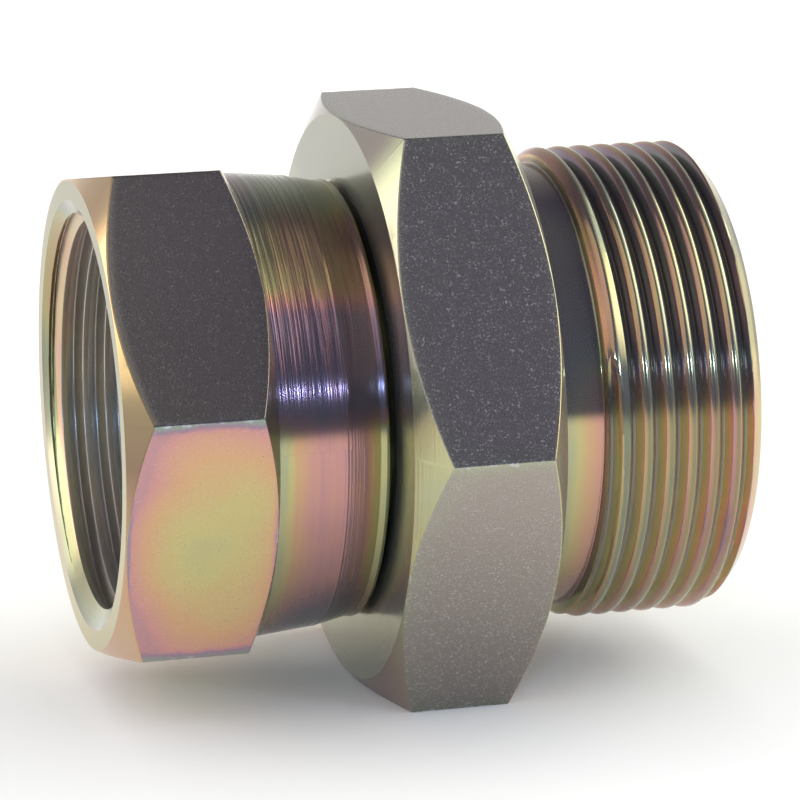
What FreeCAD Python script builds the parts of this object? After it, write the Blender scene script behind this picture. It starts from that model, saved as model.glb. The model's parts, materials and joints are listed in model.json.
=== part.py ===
"""Threaded pipe adapter with a captive swivel nut, modelled in millimetres.

The adapter is turned from two hexagon bars. The body has a hexagon in the middle, a male thread with a
24 degree cone seat on its +X end, and on its -X end a spigot with a cone nose and a collar. The swivel
nut spins on the spigot: its skirt is pressed in behind the collar, so the nut can't come off.

The X axis is the pipe's axis. The origin is on it, in the middle of the body's hexagon. +Z is up, and
one flat of the body's hexagon faces straight down.
"""
import FreeCAD, Part
import math
import os

# Driving dimensions of the body's hexagon
body_hex_across_flats = 50.0
body_hex_length = 13.2
chamfer_angle = 30.0
face_circle_inset = 0.1

# Driving dimensions of the male end
male_thread_major_d = 42.0
male_thread_length = 12.25
male_thread_end_chamfer = 1.3
relief_d = 39.2
relief_length = 4.9
relief_fillet = 0.8
land_shoulder_length = 0.5
cone_seat_angle = 24.0
cone_seat_mouth_d = 32.8
tube_socket_d = 30.2
tube_socket_depth = 15.0
through_bore_d = 24.0

# Driving dimensions of the spigot
nose_tip_d = 26.4
nose_length = 6.7
nose_tip_chamfer = 0.4
collar_d = 34.2
collar_length = 1.8
collar_front_chamfer = 0.5
collar_back_angle = 45.0
neck_d = 30.4
neck_length = 2.0
neck_fillet = 0.4

# Driving dimensions of the swivel nut
nut_hex_across_flats = 41.0
nut_length = 22.8
nut_hex_length = 13.0
nut_thread_major_d = 36.0
nut_thread_pitch = 2.0
nut_thread_length = 8.4
nut_mouth_d = 37.4
nut_mouth_angle = 120.0
nut_relief_d = 36.6
nut_relief_length = 3.0
skirt_front_d = 40.8
crimp_start_d = 39.66
crimp_start_from_mouth = 18.9
lip_d = 38.4
lip_fillet = 0.5
nut_turn_at_rest = -9.7

# Clearances between the body and the nut
swivel_clearance = 0.3
lip_to_hexagon_gap = 0.5

# Sizes worked out from the driving dimensions
nut_thread_minor_d = nut_thread_major_d - 1.0825 * nut_thread_pitch
body_hex_back = body_hex_length / 2
body_hex_front = -body_hex_length / 2
nut_lip_x = body_hex_front - lip_to_hexagon_gap
nut_mouth_x = nut_lip_x - nut_length

bar_overlap = 1.0


def slope(angle, run):
    """Height gained over a run by a line at an angle in degrees."""
    return run * math.tan(math.radians(angle))


def unit(start, end):
    """Unit vector in the profile plane from one corner to the next."""
    length = math.hypot(end[0] - start[0], end[1] - start[1])
    return (end[0] - start[0]) / length, (end[1] - start[1]) / length


def profile_edges(corners):
    """Edges of a closed profile of (x, radius) corners. A third value rounds the corner to that radius."""
    starts, ends, arcs = [], [], []
    count = len(corners)
    for index, corner in enumerate(corners):
        here = corner[:2]
        before = corners[index - 1][:2]
        after = corners[(index + 1) % count][:2]
        rounding = corner[2] if len(corner) > 2 else 0.0
        if rounding == 0.0:
            starts.append(here)
            ends.append(here)
            arcs.append(None)
            continue
        back = unit(here, before)
        ahead = unit(here, after)
        half_angle = math.acos(back[0] * ahead[0] + back[1] * ahead[1]) / 2
        reach = rounding / math.tan(half_angle)
        middle = unit((0.0, 0.0), (back[0] + ahead[0], back[1] + ahead[1]))
        crown = rounding / math.sin(half_angle) - rounding
        starts.append((here[0] + back[0] * reach, here[1] + back[1] * reach))
        ends.append((here[0] + ahead[0] * reach, here[1] + ahead[1] * reach))
        arcs.append((here[0] + middle[0] * crown, here[1] + middle[1] * crown))
    edges = []
    for index in range(count):
        if arcs[index] is not None:
            through = [starts[index], arcs[index], ends[index]]
            edges.append(Part.Arc(*[FreeCAD.Vector(x, r, 0) for x, r in through]).toShape())
        leave = FreeCAD.Vector(*ends[index], 0)
        arrive = FreeCAD.Vector(*starts[(index + 1) % count], 0)
        edges.append(Part.LineSegment(leave, arrive).toShape())
    return edges


def turned(corners):
    """Solid turned about the X axis from a closed profile of (x, radius) corners."""
    face = Part.Face(Part.Wire(profile_edges(corners)))
    return face.revolve(FreeCAD.Vector(0, 0, 0), FreeCAD.Vector(1, 0, 0), 360)


def hexagon_bar(across_flats, start, end, turn=0.0):
    """Hexagon bar along X with flats facing up and down, turned about X by an angle in degrees."""
    corner_radius = across_flats / 2 / math.cos(math.radians(30))
    points = []
    for side in range(7):
        angle = math.radians(60 * side + turn)
        points.append(FreeCAD.Vector(start, corner_radius * math.cos(angle), corner_radius * math.sin(angle)))
    return Part.Face(Part.makePolygon(points)).extrude(FreeCAD.Vector(end - start, 0, 0))


def chamfered_hexagon(across_flats, start, end, start_radius, end_radius, turn=0.0):
    """Hexagon whose corners are cut back at both ends by cones that start at the two face circles."""
    outer = across_flats / 2 / math.cos(math.radians(30)) + bar_overlap
    blank = turned([
        (start, 0),
        (start, start_radius),
        (start + slope(chamfer_angle, outer - start_radius), outer),
        (end - slope(chamfer_angle, outer - end_radius), outer),
        (end, end_radius),
        (end, 0),
    ])
    return hexagon_bar(across_flats, start, end, turn).common(blank)


def make_body():
    """One-piece body: cone nose, collar and neck, hexagon, relief groove and male thread."""
    half_seat = cone_seat_angle / 2
    thread_r = male_thread_major_d / 2
    relief_r = relief_d / 2
    neck_r = neck_d / 2
    collar_r = collar_d / 2
    nose_r = nose_tip_d / 2
    bore_r = through_bore_d / 2
    socket_r = tube_socket_d / 2
    seat_r = cone_seat_mouth_d / 2

    collar_back = body_hex_front - neck_length
    collar_crown_back = collar_back - (collar_r - neck_r) / math.tan(math.radians(collar_back_angle))
    collar_front = collar_crown_back - collar_length
    nose_tip = collar_front - nose_length
    nose_root_r = nose_r + slope(half_seat, nose_length)

    relief_end = body_hex_back + relief_length
    land_start = relief_end + land_shoulder_length
    thread_end = land_start + male_thread_length
    male_end = thread_end + male_thread_end_chamfer
    seat_end = male_end - (seat_r - socket_r) / math.tan(math.radians(half_seat))

    turned_parts = turned([
        (nose_tip, 0),
        (nose_tip, nose_r - nose_tip_chamfer),
        (nose_tip + nose_tip_chamfer, nose_r),
        (collar_front, nose_root_r, neck_fillet),
        (collar_front, collar_r - collar_front_chamfer),
        (collar_front + collar_front_chamfer, collar_r),
        (collar_crown_back, collar_r),
        (collar_back, neck_r, neck_fillet),
        (body_hex_front, neck_r, neck_fillet),
        (body_hex_front, neck_r + bar_overlap),
        (body_hex_back, relief_r + bar_overlap),
        (body_hex_back, relief_r, relief_fillet),
        (relief_end, relief_r, relief_fillet / 2),
        (land_start, thread_r),
        (thread_end, thread_r),
        (male_end, thread_r - male_thread_end_chamfer),
        (male_end, 0),
    ])
    face_r = body_hex_across_flats / 2 - face_circle_inset
    hexagon = chamfered_hexagon(body_hex_across_flats, body_hex_front, body_hex_back, face_r, face_r)
    passage = turned([
        (nose_tip - bar_overlap, 0),
        (nose_tip - bar_overlap, bore_r),
        (male_end - tube_socket_depth, bore_r),
        (male_end - tube_socket_depth, socket_r),
        (seat_end, socket_r),
        (male_end, seat_r),
        (male_end + bar_overlap, seat_r + slope(half_seat, bar_overlap)),
        (male_end + bar_overlap, 0),
    ])
    return hexagon.fuse(turned_parts).cut(passage).removeSplitter()


def make_swivel_nut():
    """One-piece nut: hexagon with the female thread, and the turned skirt pressed in to a lip."""
    hex_end = nut_mouth_x + nut_hex_length
    crimp_start = nut_mouth_x + crimp_start_from_mouth
    mouth_r = nut_mouth_d / 2
    thread_r = nut_thread_minor_d / 2
    groove_r = nut_relief_d / 2
    pocket_r = collar_d / 2 + swivel_clearance
    lip_bore_r = neck_d / 2 + swivel_clearance
    skirt_r = skirt_front_d / 2

    thread_start = nut_mouth_x + (mouth_r - thread_r) / math.tan(math.radians(nut_mouth_angle / 2))
    thread_end = thread_start + nut_thread_length
    groove_end = thread_end + nut_relief_length

    # The seat is a cone parallel to the collar's back, one clearance away from it.
    collar_tangent = math.tan(math.radians(collar_back_angle))
    collar_back = body_hex_front - neck_length
    seat_offset = swivel_clearance / math.sin(math.radians(collar_back_angle))
    seat_end = collar_back + seat_offset - swivel_clearance / collar_tangent
    seat_start = seat_end - (pocket_r - lip_bore_r) / collar_tangent

    hexagon = chamfered_hexagon(nut_hex_across_flats, nut_mouth_x, hex_end,
                                nut_hex_across_flats / 2 - face_circle_inset, skirt_r, nut_turn_at_rest)
    skirt = turned([
        (hex_end - bar_overlap, 0),
        (hex_end - bar_overlap, skirt_r),
        (hex_end, skirt_r),
        (crimp_start, crimp_start_d / 2),
        (nut_lip_x, lip_d / 2, lip_fillet),
        (nut_lip_x, 0),
    ])
    hollow = turned([
        (nut_mouth_x - bar_overlap, 0),
        (nut_mouth_x - bar_overlap, mouth_r + slope(nut_mouth_angle / 2, bar_overlap)),
        (thread_start, thread_r),
        (thread_end, thread_r),
        (thread_end + groove_r - thread_r, groove_r),
        (groove_end - groove_r + pocket_r, groove_r),
        (groove_end, pocket_r),
        (seat_start, pocket_r),
        (seat_end, lip_bore_r),
        (nut_lip_x + bar_overlap, lip_bore_r),
        (nut_lip_x + bar_overlap, 0),
    ])
    return hexagon.fuse(skirt).cut(hollow).removeSplitter()


def export(shape, node):
    """Write one piece as parts/NODE.step and print its size."""
    solid = shape.Solids[0]
    solid.exportStep("parts/%s.step" % node)
    print(node, "valid", solid.isValid(), "solids", len(shape.Solids), "volume %.1f mm3" % solid.Volume)


os.makedirs("parts", exist_ok=True)
export(make_body(), "body")
export(make_swivel_nut(), "swivel_nut")
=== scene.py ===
"""Looks of a threaded pipe adapter with a captive swivel nut, in metres.

The adapter is zinc-plated steel with an iridescent yellow passivation. The X axis is the pipe's axis, and
an angle about it is counted from +Y towards +Z. Each of the two pieces is one closed skin, laid out as
rings of points about the axis, with its real helical thread.
"""

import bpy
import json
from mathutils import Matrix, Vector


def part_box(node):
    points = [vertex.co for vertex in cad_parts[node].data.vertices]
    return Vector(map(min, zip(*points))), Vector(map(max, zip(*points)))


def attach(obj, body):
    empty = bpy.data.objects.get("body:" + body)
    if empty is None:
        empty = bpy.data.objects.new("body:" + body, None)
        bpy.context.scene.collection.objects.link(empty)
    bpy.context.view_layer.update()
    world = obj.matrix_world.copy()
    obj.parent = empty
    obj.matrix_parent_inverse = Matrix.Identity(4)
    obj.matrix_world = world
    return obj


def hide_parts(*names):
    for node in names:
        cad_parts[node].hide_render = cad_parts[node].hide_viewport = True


bl_info = {
    "name": "Threaded pipe adapter",
    "version": (1, 0, 0),
    "blender": (4, 5, 0),
    "location": "View3D > Sidebar > Adapter",
    "description": "Builds the adapter's body, its swivel nut and a plain stage",
    "category": "Object",
}

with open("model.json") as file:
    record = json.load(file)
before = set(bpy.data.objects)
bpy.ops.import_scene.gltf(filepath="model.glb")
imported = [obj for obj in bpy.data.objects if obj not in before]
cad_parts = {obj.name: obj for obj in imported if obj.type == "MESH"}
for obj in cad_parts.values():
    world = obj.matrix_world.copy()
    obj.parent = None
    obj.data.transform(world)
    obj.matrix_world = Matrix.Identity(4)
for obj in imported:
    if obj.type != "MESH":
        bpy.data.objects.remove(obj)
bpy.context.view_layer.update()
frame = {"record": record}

import json
import math

import bmesh
import bpy
import numpy as np
from bpy.props import FloatProperty, FloatVectorProperty, PointerProperty
from mathutils import Matrix, Vector

MM = 0.001
body_low, body_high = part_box("body")
nut_low, nut_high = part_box("swivel_nut")
mounts = {mount["name"]: mount for mount in frame["record"]["mounts"]}


def mount_radius(name):
    """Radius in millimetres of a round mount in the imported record."""
    return mounts[name]["dims"]["r_mm"]


def length(name, description, millimetres):
    """Length property in metres, whose default is given in millimetres."""
    return FloatProperty(name=name, description=description, default=millimetres * MM, unit="LENGTH",
                         precision=5)


def degrees(name, description, default):
    """Angle property whose default is given in degrees."""
    return FloatProperty(name=name, description=description, default=math.radians(default), subtype="ANGLE")


def level(name, description, default):
    """Brightness property, where 1 is as bright as white paper."""
    return FloatProperty(name=name, description=description, default=default, min=0.0)


def colour(name, description, default):
    """Colour property with a scene-linear default."""
    return FloatVectorProperty(name=name, description=description, default=default, subtype="COLOR",
                               size=3, min=0.0, max=1.0)


class BodySizes(bpy.types.PropertyGroup):
    """Sizes of the one-piece body."""
    across_flats: length("Across flats", "Width of the body's hexagon", (body_high.z - body_low.z) / MM)
    hexagon_length: length("Hexagon length", "Length of the hexagon along the axis", 13.2)
    face_inset: length("Face inset", "How far the face circles lie inside the flats", 0.1)
    edge_rounding: length("Edge rounding", "Radius along the hexagon's corner edges", 0.22)
    rim_rounding: length("Rim rounding", "Radius between a flat and its chamfer", 0.16)
    chamfer_angle: degrees("Chamfer angle", "Angle of the chamfers from the faces", 30)
    thread_radius: length("Thread radius", "Crest radius of the male thread", mount_radius("male_thread"))
    thread_pitch: length("Thread pitch", "Pitch of the male thread", 2.0)
    thread_depth: length("Thread depth", "Depth of the male thread", 1.04)
    crest_flat: length("Crest flat", "Flat along the male thread's crests", 0.66)
    crest_rounding: length("Crest rounding", "Radius beside the male thread's crests", 0.55)
    root_flat: length("Root flat", "Flat along the male thread's roots", 0.24)
    root_rounding: length("Root rounding", "Radius beside the male thread's roots", 0.05)
    thread_start: length("Thread start", "Where the first ridge's slope begins", 11.62)
    thread_end: length("Thread end", "Where the end chamfer starts", 24.25)
    thread_phase: length("Thread phase", "A crest's place along the axis at angle zero", 12.0)
    lead_rise: length("Lead rise", "Height of the first ridge's slope", 0.55)
    lead_length: length("Lead length", "Length of the first ridge's slope", 0.82)
    lead_fall: length("Lead fall", "How far the first ridge falls again before its groove", 0.26)
    runout_angle: degrees("Runout angle", "Angle along the thread at which its groove has run out", -205)
    runout_turn: degrees("Runout turn", "Turn over which the groove runs out", 16)
    relief_radius: length("Relief radius", "Radius of the relief behind the thread", 19.6)
    relief_end: length("Relief end", "Where the relief meets its shoulder", 11.5)
    relief_rounding: length("Relief rounding", "Radius at the foot of the relief", 0.8)
    neck_radius: length("Neck radius", "Radius of the neck that the nut turns on", 15.2)
    neck_length: length("Neck length", "Length of the neck", 2.0)
    collar_radius: length("Collar radius", "Radius of the collar that holds the nut", 17.1)
    collar_length: length("Collar length", "Length of the collar's round wall", 1.8)
    nose_radius: length("Nose radius", "Radius of the cone nose at its tip", 13.2)
    cone_angle: degrees("Cone angle", "Half angle of the nose and of the seat", 12)
    bore_radius: length("Bore radius", "Radius of the passage", mount_radius("through_bore"))
    socket_radius: length("Socket radius", "Radius of the tube socket", mount_radius("tube_socket"))
    socket_depth: length("Socket depth", "Depth of the tube socket", 15.0)
    seat_radius: length("Seat radius", "Radius of the cone seat at its mouth", 16.4)
    end_chamfer: length("End chamfer", "Chamfer on the free end of the thread", 1.3)


class NutSizes(bpy.types.PropertyGroup):
    """Sizes of the one-piece swivel nut."""
    across_flats: length("Across flats", "Width of the nut's hexagon", 41.0)
    turn: degrees("Turn", "How far the nut is turned about the axis at rest", -9.7)
    hexagon_length: length("Hexagon length", "Length of the hexagon along the axis", 13.0)
    face_inset: length("Face inset", "How far the mouth's face circle lies inside the flats", 0.1)
    edge_rounding: length("Edge rounding", "Radius along the hexagon's corner edges", 0.25)
    rim_rounding: length("Rim rounding", "Radius between a flat and its chamfer", 0.16)
    chamfer_angle: degrees("Chamfer angle", "Angle of the chamfers from the faces", 30)
    skirt_radius: length("Skirt radius", "Radius of the skirt beside the hexagon", 20.4)
    crimp_radius: length("Crimp radius", "Radius where the pressed-in end begins", 19.83)
    crimp_from_mouth: length("Crimp from mouth", "Distance of the pressed-in end from the mouth", 18.9)
    lip_radius: length("Lip radius", "Outer radius at the lip", 19.2)
    lip_bore_radius: length("Lip bore radius", "Radius of the lip's bore round the neck", 15.5)
    pocket_radius: length("Pocket radius", "Radius of the pocket round the collar", 17.4)
    seat_start: length("Seat start", "Where the pocket narrows to the lip", -10.38)
    seat_end: length("Seat end", "Where the lip's bore starts", -8.48)
    groove_radius: length("Groove radius", "Radius of the groove behind the thread", 18.3)
    groove_length: length("Groove length", "Length of the groove behind the thread", 3.0)
    mouth_radius: length("Mouth radius", "Radius of the countersunk mouth", 18.7)
    mouth_angle: degrees("Mouth angle", "Half angle of the countersunk mouth", 60)
    thread_radius: length("Thread radius", "Crest radius of the female thread", mount_radius("nut_thread"))
    thread_pitch: length("Thread pitch", "Pitch of the female thread", 2.0)
    thread_depth: length("Thread depth", "Depth of the female thread", 1.08)
    crest_flat: length("Crest flat", "Flat along the female thread's crests", 0.5)
    crest_rounding: length("Crest rounding", "Radius beside the female thread's crests", 0.1)
    root_flat: length("Root flat", "Flat along the female thread's roots", 0.25)
    root_rounding: length("Root rounding", "Radius beside the female thread's roots", 0.1)
    thread_length: length("Thread length", "Length of the female thread", 8.4)
    thread_phase: length("Thread phase", "A crest's place along the axis at angle zero", -28.26)


class Finish(bpy.types.PropertyGroup):
    """Colours of the passivation film, in the order in which it thickens."""
    beige: colour("Beige", "Thinnest film", (0.37, 0.31, 0.26))
    green: colour("Green", "Thin film", (0.375, 0.42, 0.25))
    yellow: colour("Yellow", "Middle film", (0.56, 0.485, 0.19))
    orange: colour("Orange", "Thicker film", (0.64, 0.375, 0.19))
    pink: colour("Pink", "Thick film", (0.60, 0.285, 0.26))
    mauve: colour("Mauve", "Thickest film", (0.32, 0.21, 0.29))
    teal: colour("Teal", "Film on the verge of its second order", (0.26, 0.34, 0.27))
    speck: colour("Speck", "Silvery specks and worn edges", (0.60, 0.585, 0.65))
    # Pale steel colour, blended into the thread inside the nut as painted light that lightens it.
    bare_steel_lightening: colour("Bare", "Steel with hardly any film", (0.62, 0.60, 0.63))


class Stage(bpy.types.PropertyGroup):
    """Camera, lamps and floor."""
    camera_azimuth: degrees("Camera azimuth", "Camera's angle from -Y towards -X", 14.836)
    camera_elevation: degrees("Camera elevation", "Camera's angle above the floor", 12.665)
    camera_distance: length("Camera distance", "Distance from the point looked at", 353.31)
    camera_roll: degrees("Camera roll", "Camera's turn about its own axis", -0.794)
    camera_target: FloatVectorProperty(name="Camera target", description="Point that the camera looks at",
                                       default=(-0.00124, -0.00014, -0.00062), subtype="TRANSLATION")
    focal_length: FloatProperty(name="Focal length", description="Lens in millimetres", default=179.7)
    world_level: level("World level", "Strength of the pale surroundings", 1.0)
    shade_level: level("Shade level", "Brightness of the hood's darkest part", 0.076)
    window_level: level("Window level", "Brightness of the window on the right", 2.5)
    left_level: level("Left level", "Brightness of the lamp behind on the left", 2.3)
    right_level: level("Right level", "Brightness of the lamp on the right", 2.4)
    glint_level: level("Glint level", "Brightness of the two small bluish lamps", 150.0)


def rounded(corners, steps=4):
    """Points of an open profile of (x, radius) corners. A third value rounds a corner to that radius."""
    points = []
    for index, corner in enumerate(corners):
        here = np.array(corner[:2], float)
        inner = 0 < index < len(corners) - 1
        rounding = corner[2] if len(corner) > 2 and inner else 0.0
        if rounding == 0.0:
            points.append(tuple(here))
            continue
        back = np.array(corners[index - 1][:2]) - here
        ahead = np.array(corners[index + 1][:2]) - here
        back_length, ahead_length = np.linalg.norm(back), np.linalg.norm(ahead)
        back, ahead = back / back_length, ahead / ahead_length
        half = math.acos(np.clip(back @ ahead, -1.0, 1.0)) / 2
        reach = min(rounding / math.tan(half), 0.48 * back_length, 0.48 * ahead_length)
        radius = reach * math.tan(half)
        middle = (back + ahead) / np.linalg.norm(back + ahead)
        centre = here + middle * radius / math.sin(half)
        start = here + back * reach - centre
        end = here + ahead * reach - centre
        swing = math.pi - 2 * half
        for step in range(steps + 1):
            share = step / steps
            spoke = (math.sin((1 - share) * swing) * start + math.sin(share * swing) * end) / math.sin(swing)
            points.append(tuple(centre + spoke))
    return points


def ring_angles(turn):
    """Angles of the rings about the axis, which come closer together towards the hexagon's six corners."""
    half = [0.17, 0.38, 0.7, 1.2, 1.9, 2.75, *np.arange(3.75, 30.0, 1.25)]
    offsets = [0.0, 30.0, *half, *(-offset for offset in half)]
    angles = [math.radians(60 * side + offset) + turn for side in range(6) for offset in offsets]
    return np.sort(np.mod(angles, 2 * math.pi))


class Rings:
    """Columns of points that run round the axis, one closed profile at each angle."""

    def __init__(self, angles):
        self.angles = angles
        self.x = []
        self.r = []
        self.regions = []
        self.helix = None

    def add(self, x, r, region):
        """Add columns whose strips up to the next column belong to a region."""
        for column in range(x.shape[1]):
            self.x.append(x[:, column])
            self.r.append(r[:, column])
            self.regions.append(region)

    def plain(self, points, region):
        """Add columns that are the same at every angle."""
        ones = np.ones(len(self.angles))
        for x, r in points:
            self.x.append(ones * x)
            self.r.append(ones * r)
            self.regions.append(region)

    def turned(self, places, radius, region):
        """Add columns at places along the axis, whose radius may change with the angle."""
        x = np.repeat(places[None, :], len(self.angles), 0)
        self.add(x, radius(x, self.angles[:, None]), region)

    def threaded(self, thread, start, end, radius, region):
        """Add columns that follow a thread's helix."""
        first = len(self.x)
        x = thread.columns(self.angles, start, end)
        self.add(x, radius(x, self.angles[:, None]), region)
        self.helix = (first, len(self.x) - 1, len(thread.offsets))

    def mesh(self, name):
        """Closed mesh of all the columns, with one material index a region."""
        x, r = np.array(self.x).T, np.array(self.r).T
        rings, columns = x.shape
        around = self.angles[:, None]
        points = np.stack([x, r * np.cos(around), r * np.sin(around)], axis=-1).reshape(-1, 3)
        across = np.arange(columns)
        beyond = across.copy()
        if self.helix:
            first, last, a_turn = self.helix
            inside = (across >= first) & (across <= last)
            beyond[inside] = np.minimum(across[inside] + a_turn, last)
        faces = []
        for ring in range(rings):
            ahead = (ring + 1) * columns + across if ring + 1 < rings else beyond
            here = ring * columns + across
            faces.append(np.stack([here, ahead, np.roll(ahead, -1), np.roll(here, -1)], axis=-1))
        faces = np.concatenate(faces)
        mesh = bpy.data.meshes.new(name)
        mesh.from_pydata(points.tolist(), [], faces.tolist())
        mesh.polygons.foreach_set("material_index", np.tile(self.regions, rings).astype(np.int32))
        work = bmesh.new()
        work.from_mesh(mesh)
        bmesh.ops.remove_doubles(work, verts=work.verts, dist=2e-7)
        bmesh.ops.dissolve_degenerate(work, edges=work.edges, dist=1e-7)
        bmesh.ops.recalc_face_normals(work, faces=work.faces)
        work.to_mesh(mesh)
        work.free()
        return mesh


def hexagon_radius(angles, across_flats, rounding, turn):
    """Distance from the axis to a hexagon with rounded corners at each angle."""
    apothem = across_flats / 2
    from_corner = np.abs((angles - turn + math.pi / 6) % (math.pi / 3) - math.pi / 6)
    centre = (apothem - rounding) / math.cos(math.pi / 6)
    tangent = math.atan2(rounding * 0.5, centre + rounding * math.cos(math.pi / 6))
    flat = apothem / np.cos(math.pi / 6 - from_corner)
    inside = np.maximum(rounding ** 2 - (centre * np.sin(from_corner)) ** 2, 0.0)
    corner = centre * np.cos(from_corner) + np.sqrt(inside)
    return np.where(from_corner < tangent, corner, flat)


def hexagon_columns(angles, sizes, start, end, start_radius, end_radius, turn, flat_columns=14, steps=4):
    """Columns over a hexagon whose two ends are cut back by cones: front rim, flats and back rim."""
    slope = math.tan(sizes.chamfer_angle)
    outer = hexagon_radius(angles, sizes.across_flats, sizes.edge_rounding, turn)
    rims = []
    for face, face_radius, sense in ((start, start_radius, 1), (end, end_radius, -1)):
        rise = outer - face_radius
        half = (math.pi / 2 + sizes.chamfer_angle) / 2
        ruling = rise / math.cos(sizes.chamfer_angle)
        reach = np.minimum(sizes.rim_rounding / math.tan(half), 0.45 * ruling)
        radius = reach * math.tan(half)
        corner = face + sense * rise * slope
        columns_x, columns_r = [], []
        for step in range(steps + 1):
            lean = (math.pi / 2 - sizes.chamfer_angle) * step / steps
            columns_x.append(corner + sense * (reach - radius * np.sin(lean)))
            columns_r.append(outer - radius * (1 - np.cos(lean)))
        order = slice(None, None, -1) if sense > 0 else slice(None)
        rims.append((np.array(columns_x[order]).T, np.array(columns_r[order]).T))
    (front_x, front_r), (back_x, back_r) = rims
    shares = np.linspace(0, 1, flat_columns + 2)[1:-1]
    middle_x = front_x[:, -1:] + (back_x[:, :1] - front_x[:, -1:]) * shares
    middle_r = np.repeat(outer[:, None], flat_columns, axis=1)
    return (front_x, front_r), (middle_x, middle_r), (back_x, back_r)


def worn_edges(r, angles, turn, seed, depth=0.05 * MM):
    """Small nicks along the hexagon's corner edges, the same at every run."""
    random = np.random.default_rng(seed)
    from_corner = np.abs((angles - turn + math.pi / 6) % (math.pi / 3) - math.pi / 6)
    close = np.exp(-(from_corner / math.radians(0.35)) ** 2)
    side = np.floor(((angles - turn + math.pi / 6) % (2 * math.pi)) / (math.pi / 3)).astype(int)
    nicks = np.clip(random.normal(0.2, 0.6, (6, r.shape[1])), 0.0, 1.6) * depth
    return r - close[:, None] * nicks[side % 6]


class Thread:
    """Helical ridge about the axis, right-handed, outside or inside a wall."""

    def __init__(self, sizes, root):
        """Thread from a group's sizes and the radius of its root."""
        self.pitch = sizes.thread_pitch
        self.phase = sizes.thread_phase
        crest, crest_flat, root_flat = sizes.thread_radius, sizes.crest_flat, sizes.root_flat
        half = self.pitch / 2
        corners = [
            (-half - root_flat, root),
            (-half + root_flat / 2, root, sizes.root_rounding),
            (-crest_flat / 2, crest, sizes.crest_rounding),
            (crest_flat / 2, crest, sizes.crest_rounding),
            (half - root_flat / 2, root, sizes.root_rounding),
            (half + root_flat, root),
        ]
        line = [(x, r) for x, r in rounded(corners) if -half < x < half]
        flanks = [((x0 + x1) / 2, (r0 + r1) / 2) for (x0, r0), (x1, r1) in zip(line, line[1:])
                  if abs(r1 - r0) > 0.3 * abs(crest - root)]
        line = sorted([(-half, root)] + line + flanks)
        self.offsets = np.array([x for x, r in line])
        self.heights = np.array([r for x, r in line])

    def radius(self, x, angle):
        """Radius of the full thread at a place along the axis and an angle."""
        local = x - self.phase - self.pitch * angle / (2 * math.pi)
        local = (local + self.pitch / 2) % self.pitch - self.pitch / 2
        return np.interp(local, self.offsets, self.heights, period=self.pitch)

    def turned_angle(self, x, angle):
        """Angle along the groove, counted without a break from the groove before the phase's crest."""
        groove = np.floor((x - self.phase - self.pitch * angle / (2 * math.pi)) / self.pitch)
        return groove * 2 * math.pi + angle

    def columns(self, angles, start, end):
        """Places along the axis of columns that follow the helix from one end to the other."""
        first = math.floor((start - self.phase) / self.pitch - 1.5)
        last = math.ceil((end - self.phase) / self.pitch + 0.5)
        bases = np.concatenate([self.phase + turn * self.pitch + self.offsets
                                for turn in range(first, last + 1)])
        lift = self.pitch * angles / (2 * math.pi)
        return np.clip(bases[None, :] + lift[:, None], start, end)


def finished_piece(rings, name, body, node, materials):
    """Object that stands for a CAD node, with its materials, sharp edges and weighted normals."""
    mesh = rings.mesh(name)
    mesh.polygons.foreach_set("use_smooth", [True] * len(mesh.polygons))
    mesh.set_sharp_from_angle(angle=math.radians(26))
    for material in materials:
        mesh.materials.append(material)
    piece = bpy.data.objects.new(name, mesh)
    bpy.context.scene.collection.objects.link(piece)
    normals = piece.modifiers.new("Weighted normals", "WEIGHTED_NORMAL")
    normals.keep_sharp = True
    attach(piece, body)
    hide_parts(node)


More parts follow.
